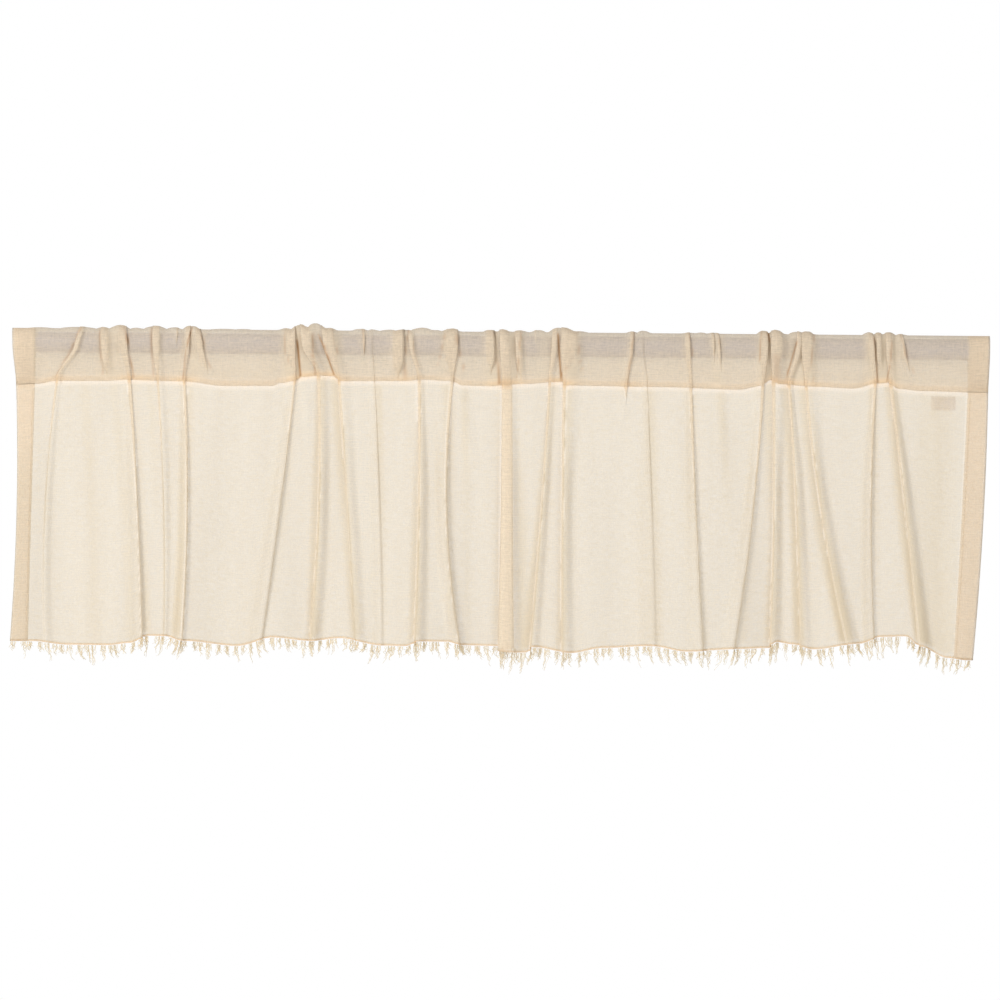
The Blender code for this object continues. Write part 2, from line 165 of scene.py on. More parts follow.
# Crests that the gathers push up above the top edge: place, height, half width; and how round
# they are.
Crest = namedtuple("Crest", "x up half")
CRESTS = table(
    Crest,
    (-564, 1.0, 14), (-518, 1.8, 22), (-488, 1.4, 7), (-467, 4.0, 12), (-447, 1.4, 7), (-424, 3.4, 14),
    (-401, 2.2, 9), (-380, 3.8, 10), (-340, 0.9, 16), (-316, 0.9, 10), (-266, 1.6, 7), (-247, 6.5, 10),
    (-228, 8.6, 11), (-212, 2.4, 9), (-174, 2.2, 10), (-158, 1.6, 6), (-140, 1.4, 9), (-120, 1.6, 8),
    (-98, 4.4, 14), (-82, 1.6, 7), (-62, 3.2, 10), (-15, 1.8, 8), (0, 2.6, 7), (22, 1.6, 9),
    (44, 2.6, 9), (72, 5.6, 16), (96, 1.2, 8), (158, 1.6, 7), (172, 2.8, 8), (229, 1.0, 6),
    (242, 1.4, 7), (257, 1.0, 7), (318, 3.4, 8), (333, 4.8, 9), (358, 3.2, 9), (371, 3.4, 8),
    (446, 2.8, 7), (458, 2.8, 6), (471, 3.0, 8), (486, 1.2, 7),
)
CREST_ROUND = 0.8

# Short open creases of the panel, each a straight path from a place near the top to a lower one,
# with its width and depth; and the height over which its ends fade.
Crease = namedtuple("Crease", "top high foot low wide deep")
CREASES = table(
    Crease,
    (-242, -50, -236, -92, 9, 1.6),
    (-51, -50, -34, -145, 11, 2.2),
    (154, -46, 147, -90, 9, 1.6),
    (268, -30, 269, -118, 11, 1.6),
)
CREASE_FADE = 9.0

# Pinches of the heading, where the gathers press the cloth together and painted shade makes it dark brown:
# each runs from a top through a bend to a foot, with its half width and its strength.
PinchShade = namedtuple("PinchShade", "top high bend middle foot low half strength")
PINCH_SHADES = table(
    PinchShade,
    (-515, 16, -526, -10, -543, -38, 1.8, 0.45),
    (-491, 14, -490, -10, -487, -36, 1.6, 0.4),
    (-460, 17, -454, -9, -450, -46, 1.8, 0.7),
    (-428, 17, -427, -9, -425, -38, 1.5, 0.4),
    (-379, 18, -385, -8, -389, -42, 1.7, 0.75),
    (-369, 17, -362, -6, -356, -29, 1.6, 0.4),
    (-265, 16, -265, -8, -259, -25, 1.5, 0.35),
    (-250, 2, -248.5, -11, -246, -41, 2.4, 1.0),
    (-231, 11, -231, -8, -228, -39, 2.0, 0.55),
    (-223, 9, -215.5, -8, -203, -43, 2.0, 0.8),
    (-206, 17, -204, 0, -201, -9, 1.4, 0.4),
    (-170.7, 17, -169.5, 4, -168, -9, 1.2, 0.4),
    (-115, 17, -118, -9, -119, -42, 1.6, 0.45),
    (-108.5, 4, -108, -8, -102, -25, 1.3, 0.3),
    (-70, 13, -75, -10, -78, -22, 1.6, 0.4),
    (-56, 15, -53, -5, -47, -28, 1.6, 0.5),
    (-9, 15, -7, -9, -5, -30, 1.4, 0.5),
    (-7, -18, -5, -32, -4, -48, 2.6, 0.8),
    (23, 17, 20, -11, 18, -37, 1.6, 0.45),
    (67.5, 14, 69, -6, 72, -42, 1.9, 1.0),
    (82, 5, 85, -6, 78.5, -25, 1.4, 0.35),
    (91.4, 15, 93.4, -10, 97, -27, 1.5, 0.4),
    (160.6, 17, 157, -6, 153.5, -43, 1.4, 0.45),
    (228, 16, 229.5, 4, 231, -9, 1.3, 0.4),
    (264, 7, 265.5, 1, 267, -6, 1.2, 0.4),
    (315, 20, 314, 3, 313.6, -14, 1.5, 0.55),
    (324, 18, 324.5, 14, 325, 10, 2.2, 0.8),
    (334, -10, 335, -26, 336, -43, 8.0, 0.3),
    (358, 6, 354, -8, 346, -38, 1.7, 0.7),
    (379.5, 19, 377, -8, 378.5, -38, 1.5, 0.5),
    (453, 11, 455, -12, 458, -38, 1.6, 0.6),
    (474, 7, 473, -14, 469, -39, 1.6, 0.55),
    (485.5, 17, 491, -7, 500, -26, 1.5, 0.5),
)
PINCH_SHADE_FADE = 5.0
# The seam looks warmest where a pinch reaches it: how near and how low that pinch is, how warm the
# seam is elsewhere, and its share in each row of the cloth from the stitching up.
SEAM_NEAR = 26.0
SEAM_REACHED = -36.0
SEAM_USUAL = 0.25
SEAM_ROWS = (1.0, 1.0, 0.55, 0.2)

# Places of the heading where gathered cloth lies thick enough to hide the rod.
Bunch = namedtuple("Bunch", "x half adds")
BUNCHES = table(
    Bunch,
    (-477, 24, 0.9), (-374, 18, 1.0), (-249, 25, 1.9), (-206, 13, 1.2), (-122, 18, 0.8), (-63, 15, 0.9),
    (1, 30, 1.8), (51, 16, 0.5), (81, 19, 1.6), (262, 12, 0.6), (325, 17, 2.0), (350, 12, 0.6),
    (368, 18, 1.7), (466, 31, 1.9),
)

# Soft bands of painted shade beside the panel's folds, where more thread is counted so that the cloth looks
# darker. Each runs past three heights, with its half width and how much thread it adds there, set beside the
# photograph's brightness at those heights.
ShadeBand = namedtuple("ShadeBand", "high middle low half high_adds middle_adds low_adds")
SHADE_BAND_HEIGHTS = (-96.0, -224.0, -330.0)
BANDS = table(
    ShadeBand,
    (-506, -498, -496, 11, 0.3, 0.2, 0.2),
    (-470, -458, -452, 9, 0.3, 0.2, 0.3),
    (-448, -439, -433, 10, 0.2, 0.3, 0.8),
    (-426, -420, -415, 8, 0.3, 0.0, 0.0),
    (-384, -387, -393, 11, 0.5, 0.5, 1.1),
    (-257, -268, -280, 9, 0.3, 0.2, 0.0),
    (-222, -227, -228, 10, 0.8, 0.7, 1.2),
    (-199, -188, -178, 11, 0.9, 0.6, 0.8),
    (-150, -145, -142, 9, 0.6, 0.2, 0.1),
    (-100, -103, -104, 10, 0.3, 0.7, 1.1),
    (-65, -64, -58, 10, 0.6, 0.4, 0.4),
    (-45, -42, -40, 8, 0.5, 0.1, 0.2),
    (3, 2, 0, 15, 0.4, 0.4, 0.6),
    (20, 27, 27, 9, 0.0, 0.4, 0.5),
    (58, 46, 36, 10, 0.4, 0.7, 1.2),
    (80, 77, 75, 10, 0.5, 0.4, 0.8),
    (181, 187, 190, 12, 0.6, 0.3, 0.4),
    (232, 238, 248, 10, 0.4, 0.2, 0.3),
    (270, 280, 290, 9, 0.5, 0.0, 0.0),
    (300, 308, 297, 11, 0.0, 0.2, 0.3),
    (327, 334, 331, 12, 0.6, 0.4, 0.9),
    (350, 360, 364, 10, 0.8, 1.3, 1.5),
    (374, 392, 416, 13, 0.9, 0.9, 2.5),
    (453, 455, 456, 9, 0.7, 0.2, 0.0),
    (480, 494, 511, 13, 1.1, 1.2, 2.2),
    (530, 530, 536, 36, 0.4, 0.4, 0.6),
)

# Broad billows of the panel between its folds: wave length, depth at the hem, start; and how far
# in from the side edges they fade.
Billow = namedtuple("Billow", "length deep start")
BILLOWS = (Billow(310, 7, 0.6), Billow(173, 5, 2.1), Billow(97, 2.5, 4.0))
EDGE_STILL = 40.0

# How finely the cloth is divided: steps of a fold's and a pleat's gentle and steep flank, the
# widest column between folds, and the rows of the panel, the pocket, the turn over the rod and the
# allowance that is turned in at the stitching.
FOLD_STEPS = (5, 10)
PLEAT_STEPS = (4, 9)
PLAIN_COLUMN = 3.4
PANEL_ROWS = 48
POCKET_ROWS = 16
TURN_FRONT_ROWS = 10
TURN_BACK_ROWS = 6
BACK_ROWS = 9
ALLOWANCE_ROWS = 3
ALLOWANCE_DEEP = 6.0
ALLOWANCE_AT = 0.4
# How much of the hem's colour doubled cloth takes: in the rows next to the stitching, in the pocket and low
# in the left hem, where taking less of it is painted shade, darkening the hem from a height downwards over a
# stretch.
SEWN_ROWS = 3
SEWN_TINT = 1.0
POCKET_TINT = 0.55
LEFT_HEM_LOW_SHADE = 0.45
LEFT_HEM_SHADE_FROM = -60.0
LEFT_HEM_SHADE_FADE = 120.0
# How warm the lower hem's turned rows look, and the share of their threads that is counted.
LOWER_HEM_WARM = 0.6
LOWER_HEM_CROWDS = 0.7
# Where the pocket's back has left the gathers below, as a share of the way up to the rod's axis,
# and the angle by which the turn over the rod has left them above; how the pocket's depth tapers
# to the stitching, and how much of a fold's depth shows as height along the top edge.
BACK_FOLDS_END = 0.5
TURN_FOLDS_END = 70.0
POCKET_TAPER = 1.5
TOP_THICK = 0.15

# A doubled hem seen in section: distance in from its fold, as a share of the hem, and how many
# layers behind the front it lies. A step longer than LONG_TURN is divided as finely as the front.
Turn = namedtuple("Turn", "inward behind")
DOUBLED = (Turn(0.10, 1), Turn(0.96, 1), Turn(1.0, 1.5), Turn(0.96, 2), Turn(0.04, 2), Turn(0.0, 1))
LONG_TURN = 0.5

# The sewing: each stitch's length, the gap after it, its radius, how far it swells and its sides.
STITCH_LONG = 2.6
STITCH_GAP = 0.7
STITCH_THICK = 0.16
STITCH_SWELLS = 1.2
STITCH_SIDES = 4

# The fringe: how many locks hang along the hem, how far each strays from its place, its length, its
# lean, which sways from lock to lock and differs in each, its nod to and fro and its spread of roots.
LOCKS = 140
LOCK_ASIDE = 2.6
LOCK_LENGTH = (11.0, 26.0)
LOCK_LEAN = 2.6
LOCK_LEAN_TURNS = 0.22
LOCK_LEAN_SWAYS = 1.6
LOCK_LEAN_EACH = 1.2
LOCK_NOD = 2.0
LOCK_SPREAD = 3.3
LOCK_SEED = 7
# Its yarns, as counts to choose from, how far each reaches down the lock, and its loose ends.
YARNS_IN_LOCK = (3, 5, 6, 8)
YARN_REACH = (0.55, 1.05)
LOOSE_ENDS = 6
LOOSE_LENGTH = (4.0, 12.0)
LOOSE_ASIDE = 3.0
LOOSE_NOD = 1.5
YARN_CURL = (0.6, 2.4)
YARN_TURNS = (0.8, 2.0)
YARN_RADIUS = 0.5
YARN_TIP = 0.6
YARN_STEPS = 10
YARN_SIDES = 4

# The label, a tape folded in two: its place and size, how far behind the panel it hangs, the space
# between its leaves, the turn at its fold, the length of its rear leaf and how far it swells.
LABEL_LEFT = 523.5
LABEL_WIDE = 30.0
LABEL_TOP = -57.0
LABEL_DEEP = 17.0
LABEL_BEHIND = 1.2
LABEL_LEAF = 0.7
LABEL_TURN = 0.5
LABEL_REAR = 0.97
LABEL_SWELL = 0.8
LABEL_COLUMNS = 12

# The most that a fold can crowd the threads, how many columns to each side even that out, and the
# width of the cells in which laps are counted.
MOST_CROWDED = 2.4
CROWDED_REACH = 2
LAP_CELL = 0.5

# The looks. A wave texture runs through WAVE_RADIANS in a unit, and a noise's scale is in cells a
# metre. RELIEF is a bump's strength and its distance in metres.
WAVE_RADIANS = 20
WEAVE_PITCH = 0.9
WEFT_CELLS = (75.0, 640.0, 1.0)
WARP_CELLS = (640.0, 75.0, 1.0)
SPECK_CELLS = 260.0
STREAK_CELLS = (34.0, 3.0, 1.0)
WEFT_SLUBS = 0.45
WARP_SLUBS = 0.25
SPECKS = 0.3
THREAD_COVERS = (0.43, 0.75)
UNEVEN = 0.38
COVER_LEAST = 0.1
COVER_MOST = 0.97
STREAK_TONE = (-0.7, 1.2)
SPECK_TONE = 0.4
SHINES_THROUGH = 0.2
PINCH_SINK = 3.0
COTTON_SHINE = 0.15
GAUZE_ROUGH = 0.9
GAUZE_RELIEF = (0.35, 0.0004)

GAUZE_COLOUR_PALE = (0.765, 0.655, 0.485, 1.0)
GAUZE_COLOUR_WARM = (0.70, 0.585, 0.415, 1.0)
LAPPED_COLOUR = (0.91, 0.79, 0.62, 1.0)
HEM_COLOUR = (0.89, 0.76, 0.59, 1.0)
SEAM_COLOUR = (0.97, 0.75, 0.50, 1.0)
PINCH_SHADE_COLOUR = (0.50, 0.27, 0.12, 1.0)
THREAD_COLOUR = (0.98, 0.86, 0.68, 1.0)
YARN_COLOUR_PALE = (0.98, 0.96, 0.89, 1.0)
YARN_COLOUR_WARM = (1.0, 0.87, 0.64, 1.0)
YARN_TWIST = 320.0
YARN_CELLS = 180.0
YARN_ROUGH = 0.92
YARN_RELIEF = (0.4, 0.0002)
YARN_SHINES_THROUGH = 0.5
YARN_OPEN = 0.35
ROD_COLOUR_LIGHT = (0.52, 0.52, 0.68, 1.0)
ROD_COLOUR_DARK = (0.43, 0.43, 0.57, 1.0)
ROD_LINE_CELLS = (6.0, 900.0, 900.0)
ROD_MOTTLE_CELLS = 30.0
ROD_ROUGH = (0.32, 0.46)
ROD_RELIEF = (0.15, 0.0002)
ROD_METALLIC = 0.2
TAPE_COLOUR = (0.96, 0.90, 1.0, 1.0)
TAPE_RIB_PITCH = 0.6
TAPE_CELLS = 300.0
TAPE_TONE = 0.4
TAPE_ROUGH = 0.6
TAPE_SHEEN = 0.2
TAPE_RELIEF = (0.3, 0.0002)
TAPE_SHINES_THROUGH = 0.5
TAPE_OPEN = 0.5

# The light, in metres and watts: the room's, as it falls on things and as it is seen, and the lamps
ROOM_LIGHT = 0.46
BACKDROP = 1.0
Lamp = namedtuple("Lamp", "name place size power")
LAMPS = (
    Lamp("key", (-2.5, -3.9, 1.9), 1.5, 140),
    Lamp("fill", (2.6, -3.4, 0.4), 2.0, 30),
    Lamp("behind", (-0.8, 3.0, 1.2), 2.0, 42),
)
LAMPS_AIM = (0.0, 0.0, -0.2)
FLOOR_HEIGHT = -1.3
FLOOR_REACH = 6.0
FLOOR_SIDES = 96
FLOOR_CELLS = 2.0
FLOOR_ROUGH = 0.7
FLOOR_DARK = (0.86, 0.86, 0.85, 1.0)
FLOOR_LIGHT = (0.90, 0.90, 0.89, 1.0)


def mix(a, b, share):
    return a + (b - a) * share


def ease(share):
    share = min(max(share, 0.0), 1.0)
    return share * share * (3 - 2 * share)


def hump(q):
    return (1 + cos(pi * q)) / 2 if abs(q) < 1 else 0.0


def kept_between(low, high, z, fade):
    """1 between two heights, fading to 0 outside them."""
    return ease((z - low) / fade + 1) * ease((high - z) / fade + 1)


def through_three(top, middle, low, share):
    """A smooth line through a value at 0, at MIDDLE_AT and at 1."""
    a = (share - MIDDLE_AT) * (share - 1) / MIDDLE_AT
    b = share * (share - 1) / (MIDDLE_AT * (MIDDLE_AT - 1))
    c = share * (share - MIDDLE_AT) / (1 - MIDDLE_AT)
    return top * a + middle * b + low * c


def height_at(heights, x):
    """The height at x, eased between the rows of a table of heights."""
    if x <= heights[0].x:
        return heights[0].z
    for a, b in zip(heights, heights[1:]):
        if x <= b.x:
            return mix(a.z, b.z, ease((x - a.x) / (b.x - a.x)))
    return heights[-1].z


def crest(x):
    """How far the gathers push the top edge up at x, in round crests with sharp notches between."""
    near = [c for c in CRESTS if abs(x - c.x) < c.half]
    return max((c.up * (1 - ((x - c.x) / c.half) ** 2) ** CREST_ROUND for c in near), default=0.0)


def flanks(side, wide):
    """Widths of a fold's left and right flank."""
    gentle = wide * GENTLE
    return (gentle, wide - gentle) if side > 0 else (wide - gentle, gentle)


def fold_at(fold, down):
    """A fold's form. down is -1 at the rod's axis, 0 at the stitching and 1 at the hem."""
    if down < 0:
        share = ease(-down)
        x = mix(fold.stitch, fold.rod, share + SLANT_ON * max(0.0, -1 - down))
        wide = fold.wide_rod
        deep = mix(STITCHED * fold.deep_rod, fold.deep_rod, share)
        lap = mix(fold.lap_stitch, fold.lap_rod, share)
    else:
        x = through_three(fold.stitch, fold.middle, fold.hem, down)
        share = ease(down / MIDDLE_AT)
        lower = max(0.0, (down - MIDDLE_AT) / (1 - MIDDLE_AT))
        wide = mix(mix(fold.wide_rod, fold.wide_middle, share), fold.wide_hem, lower)
        deep = mix(mix(STITCHED * fold.deep_rod, fold.deep_middle, share), fold.deep_hem, lower)
        lap = mix(mix(fold.lap_stitch, fold.lap_middle, share), fold.lap_hem, lower)
    before, after = flanks(fold.side, wide)
    return Form(x - fold.side * LINE_AT * (1 - GENTLE) * wide, before, after, deep, lap)


def pleat_at(pleat, down):
    """A pleat's form in the heading."""
    share = ease(-down) + SLANT_ON * max(0.0, -1 - down)
    x = mix(pleat.stitch, pleat.rod, share)
    before, after = flanks(pleat.side, pleat.wide)
    return Form(x - pleat.side * LINE_AT * (1 - GENTLE) * pleat.wide, before, after, pleat.deep, pleat.lap)


def folds_at(down):
    """The form of each fold and pleat at one height. Below the stitching a pleat keeps its share of
    the plain stretch between its neighbours."""
    found = {fold.name: fold_at(fold, down) for fold in FOLDS}
    for pleat in PLEATS:
        form = pleat_at(pleat, min(down, 0.0))
        if down > 0:
            left = max((f for f in FOLDS if f.rod < pleat.rod), key=lambda f: f.rod)
            right = min((f for f in FOLDS if f.rod > pleat.rod), key=lambda f: f.rod)
            sewn_left, sewn_right = fold_at(left, 0.0), fold_at(right, 0.0)
            start, end = sewn_left.x + sewn_left.after, sewn_right.x - sewn_right.before
            low_start = found[left.name].x + found[left.name].after
            low_end = found[right.name].x - found[right.name].before
            grown = (low_end - low_start) / (end - start)
            x = low_start + (form.x - start) * grown
            form = form._replace(x=x, before=form.before * grown, after=form.after * grown)
        found[pleat.name] = form
    return found


def fold_places(side, steps_in):
    """Places across a fold, -1 at its left foot, 0 at its crest and 1 at its right foot."""
    gentle = [i / steps_in[0] - 1 for i in range(steps_in[0])]
    steep = [i / steps_in[1] for i in range(steps_in[1] + 1)]
    return sorted(q * side for q in gentle + steep)


def cloth_columns():
    """The cloth's columns from left to right, each a fold with a place in it or a share of the
    plain stretch between two folds."""
    ordered = sorted(FOLDS + PLEATS, key=lambda f: f.rod)
    at_rod, at_hem = folds_at(-1.0), folds_at(1.0)
    made = []
    for left, right in zip(ordered, ordered[1:]):
        if left.side == 0:
            made.append((left, left, 0.0))
        else:
            fine = PLEAT_STEPS if left in PLEATS else FOLD_STEPS
            made += [(left, left, q) for q in fold_places(left.side, fine)]
        gaps = [
            found[right.name].x - found[right.name].before - found[left.name].x - found[left.name].after
            for found in (at_rod, at_hem)
        ]
        count = int(max(gaps) // PLAIN_COLUMN) + 1
        made += [(left, right, i / count) for i in range(1, count)]
    made.append((ordered[-1], ordered[-1], 0.0))
    return made


COLUMNS = cloth_columns()


def first_column(name):
    """The first column that belongs to a fold."""
    return next(i for i, column in enumerate(COLUMNS) if column[0].name == name)


def flat_x(found, column):
    """Where a column lies across the valance, before its fold laps over."""
    left, right, place = column
    form = found[left.name]
    if left is right:
        return form.x + place * (form.after if place > 0 else form.before)
    other = found[right.name]
    return mix(form.x + form.after, other.x - other.before, place)


def fold_shift(found, column, z):
    """Sideways and forward shift of a column that lies in a fold or pleat, at height z."""
    left, right, place = column
    if left is not right or left.side == 0:
        return 0.0, 0.0
    form = found[left.name]
    strength = ease((z - left.foot + PLEAT_RUNS_ON) / PLEAT_FADE) if left in PLEATS else 1.0
    sideways = left.side * form.lap * sin(2 * pi * abs(place)) if place * left.side > 0 else 0.0
    return strength * sideways, strength * form.deep * hump(place)


def crease_forward(x, z):
    """How far the panel's short creases stand forward at a place on the front."""
    forward = 0.0
    for c in CREASES:
        centre = mix(c.top, c.foot, (c.high - z) / (c.high - c.low))
        forward += kept_between(c.low, c.high, z, CREASE_FADE) * c.deep * hump((x - centre) / c.wide)
    return forward


def pinch_shade(x, z):
    """How strong the painted shade of the gathers' pinches is at a place of the heading's front, from 0 to
    1.
    """
    most = 0.0
    for p in PINCH_SHADES:
        end, place = (p.top, p.high) if z > p.middle else (p.foot, p.low)
        centre = mix(p.bend, end, (z - p.middle) / (place - p.middle))
        strength = kept_between(p.low, p.high, z, PINCH_SHADE_FADE) * p.strength
        most = max(most, strength * hump((x - centre) / p.half))
    return most


def bunched(x):
    """How much thread the gathers of the heading add at a place along the rod."""
    return sum(b.adds * hump((x - b.x) / b.half) for b in BUNCHES)


def seam_glow(x):
    """How warm the seam looks at a place, most where a pinch of the heading ends on it."""
    near = [p.strength * hump((x - p.foot) / SEAM_NEAR) for p in PINCH_SHADES if p.low < SEAM_REACHED]
    return min(SEAM_USUAL + sum(near), 1.0)


def band_shade(x, z):
    """How much thread the soft bands of painted shade add at a place."""
    high, middle, low = SHADE_BAND_HEIGHTS
    upper = z > middle
    share = (middle - z) / (middle - low)
    if upper:
        share = (high - z) / (high - middle)
    adds = 0.0
    for b in BANDS:
        ends = (b.high, b.middle) if upper else (b.middle, b.low)
        across = (x - mix(*ends, share)) / b.half
        if abs(across) >= 1:
            continue
        ends = (b.high_adds, b.middle_adds) if upper else (b.middle_adds, b.low_adds)
        adds += mix(*ends, min(max(share, 0.0), 1.0)) * hump(across)
    return adds


def billow(x, down):
    """How far the panel swells to and fro, growing towards the hem and still at both edges."""
    near_edge = min(x - FOLDS[0].middle, FOLDS[-1].middle - x)
    grown = ease(near_edge / EDGE_STILL) * ease(down) if down > 0 else 0.0
    return grown * sum(b.deep * sin(2 * pi * x / b.length + b.start) for b in BILLOWS)


def pocket_half(z, stitch):
    """Half the pocket's depth from front to back at height z below the rod's axis."""
    return POCKET_WIDEST * (1 - (z / stitch) ** POCKET_TAPER)


AT_STITCH = folds_at(0.0)
AT_HEM = folds_at(1.0)
STITCHES_Z = [height_at(STITCH_HEIGHTS, flat_x(AT_STITCH, c)) for c in COLUMNS]
HEMS_Z = [height_at(HEM_HEIGHTS, flat_x(AT_HEM, c)) for c in COLUMNS]


def panel_row(down):
    """A row of the single panel, from the stitching at 0 to the hem at 1."""
    found = folds_at(down)
    row = []
    for column, stitch, hem in zip(COLUMNS, STITCHES_Z, HEMS_Z):
        x = flat_x(found, column)
        z = mix(stitch, hem, down)
        side, forward = fold_shift(found, column, z)
        row.append(Vector((x + side, billow(x, down) - forward - crease_forward(x, z), z)))
    return row


def pocket_row(layer, share):
    """A row of the pocket below the rod, from the stitching at 0 to the rod's axis at 1. layer is -1
    for its front, 1 for its back and between them for the allowance turned in at the stitching."""
    found = folds_at(-share)
    kept = 1.0 if layer < 0 else 1 - ease(share / BACK_FOLDS_END)
    row = []
    for column, stitch in zip(COLUMNS, STITCHES_Z):
        z = mix(stitch, 0.0, share)
        side, forward = fold_shift(found, column, z)
        half = pocket_half(z, stitch)
        if layer < 0:
            y = -half
        else:
            y = layer * (half + GAUZE)
        row.append(Vector((flat_x(found, column) + side * kept, y - forward * kept, z)))
    return row


def turn_row(turn):
    """A row round the rod. turn is the angle, 180 in front, 270 on top and 360 behind."""
    angle = radians(turn)
    up = -sin(angle)
    found = folds_at(-1 - up * TOP_EDGE / -STITCH_LINE)
    kept = 1 - ease((turn - 270) / TURN_FOLDS_END)
    row = []
    for column in COLUMNS:
        side, forward = fold_shift(found, column, TOP_EDGE * up)
        x = flat_x(found, column) + side * kept
        y = (POCKET_WIDEST + forward * kept) * cos(angle)
        row.append(Vector((x, y, (TOP_EDGE + crest(x) + forward * kept * TOP_THICK) * up)))
    return row


def steps(first, last, count):
    """count values from first to last, without the last one."""
    return [mix(first, last, i / count) for i in range(count)]


def cloth_rows():
    """The cloth's rows from the hem up the front, over the rod and down behind to the stitching."""
    hem_top = 1 - LOWER_HEM_DEEP / (STITCH_LINE - HEM_LINE)
    rows = [panel_row(1.0)]
    rows += [panel_row(d) for d in steps(hem_top, 0.0, PANEL_ROWS)]
    rows += [pocket_row(-1, s) for s in steps(0.0, 1.0, POCKET_ROWS)]
    rows += [turn_row(t) for t in steps(180.0, 270.0, TURN_FRONT_ROWS)]
    rows += [turn_row(t) for t in steps(270.0, 360.0, TURN_BACK_ROWS)]
    rows += [pocket_row(1, s) for s in steps(1.0, 0.0, BACK_ROWS)]
    allowance = ALLOWANCE_DEEP / -STITCH_LINE
    rows += [pocket_row(ALLOWANCE_AT, s) for s in steps(0.0, allowance, ALLOWANCE_ROWS) + [allowance]]
    return rows


def normals(rows):
    """The way each point of a grid faces, away from the room in front and inwards in the pocket."""
    found = []
    for r, row in enumerate(rows):
        above, below = rows[min(r + 1, len(rows) - 1)], rows[max(r - 1, 0)]
        line = []
        for c in range(len(row)):
            across = row[min(c + 1, len(row) - 1)] - row[max(c - 1, 0)]
            line.append((above[c] - below[c]).cross(across).normalized())
        found.append(line)
    return found


def between(row, place):
    """The point at a place between two points of a row, given as a number that may have a share."""
    low = min(int(place), len(row) - 2)
    return row[low].lerp(row[low + 1], place - low)


def turned_row(row, facing, inner, outer, fine):
    """The points of a doubled side hem behind a row, from its raw edge to its fold."""
    made = []
    for a, b in zip(DOUBLED, DOUBLED[1:]):
        count = fine if abs(b.inward - a.inward) > LONG_TURN else 1
        for i in range(count):
            inward = mix(a.inward, b.inward, i / count)
            behind = mix(a.behind, b.behind, i / count)
            place = mix(outer, inner, inward)
            made.append(between(row, place) + between(facing, place) * behind * GAUZE)
    return made


def with_side_hems(rows):
    """Adds the doubled side hems, which are turned to the back, to each row. Also gives how many
    columns each hem has, its front among them."""
    facing = normals(rows)
    last = len(COLUMNS) - 1
    hem = first_column("left_hem_side")
    right_hem = first_column("right_hem_side")
    made = []
    for row, way in zip(rows, facing):
        left = turned_row(row, way, hem, 0, hem)
        right = turned_row(row, way, right_hem, last, last - right_hem)
        made.append(left + row + right[::-1])
    return made, (len(left) + hem, len(right) + last - right_hem)


def with_lower_hem(rows):
    """Adds the narrow doubled hem along the lower edge."""
    edge = list(zip(rows[0], rows[1], normals(rows)[0]))
    turns = DOUBLED[:-1]
    made = [[a.lerp(b, turn.inward) + n * turn.behind * GAUZE for a, b, n in edge] for turn in turns]
    return made + rows


def crowding(row):
    """How many times more thread lies in line, seen across the room, where a row of cloth turns
    aside in its folds than where it lies flat."""
    found = []
    for i in range(len(row)):
        way = row[min(i + 1, len(row) - 1)] - row[max(i - 1, 0)]
        long = max(way.xy.length, 1e-6)
        found.append(long / max(abs(way.x), long / MOST_CROWDED))
    nearby = [found[max(i - CROWDED_REACH, 0) : i + CROWDED_REACH + 1] for i in range(len(found))]
    return [sum(near) / len(near) for near in nearby]


def lapping(row):
    """How many times a row of cloth lies over itself, 0 where it is single and 1 for three layers."""
    first = int(min(p.x for p in row) / LAP_CELL) - 2
    layers = [0] * (int(max(p.x for p in row) / LAP_CELL) - first + 3)
    for a, b in zip(row, row[1:]):
        low, high = sorted((int(a.x / LAP_CELL - first), int(b.x / LAP_CELL - first)))
        for cell in range(low, high):
            layers[cell] += 1
    return [min(max((layers[int(p.x / LAP_CELL - first)] - 1) / 2, 0.0), 1.0) for p in row]


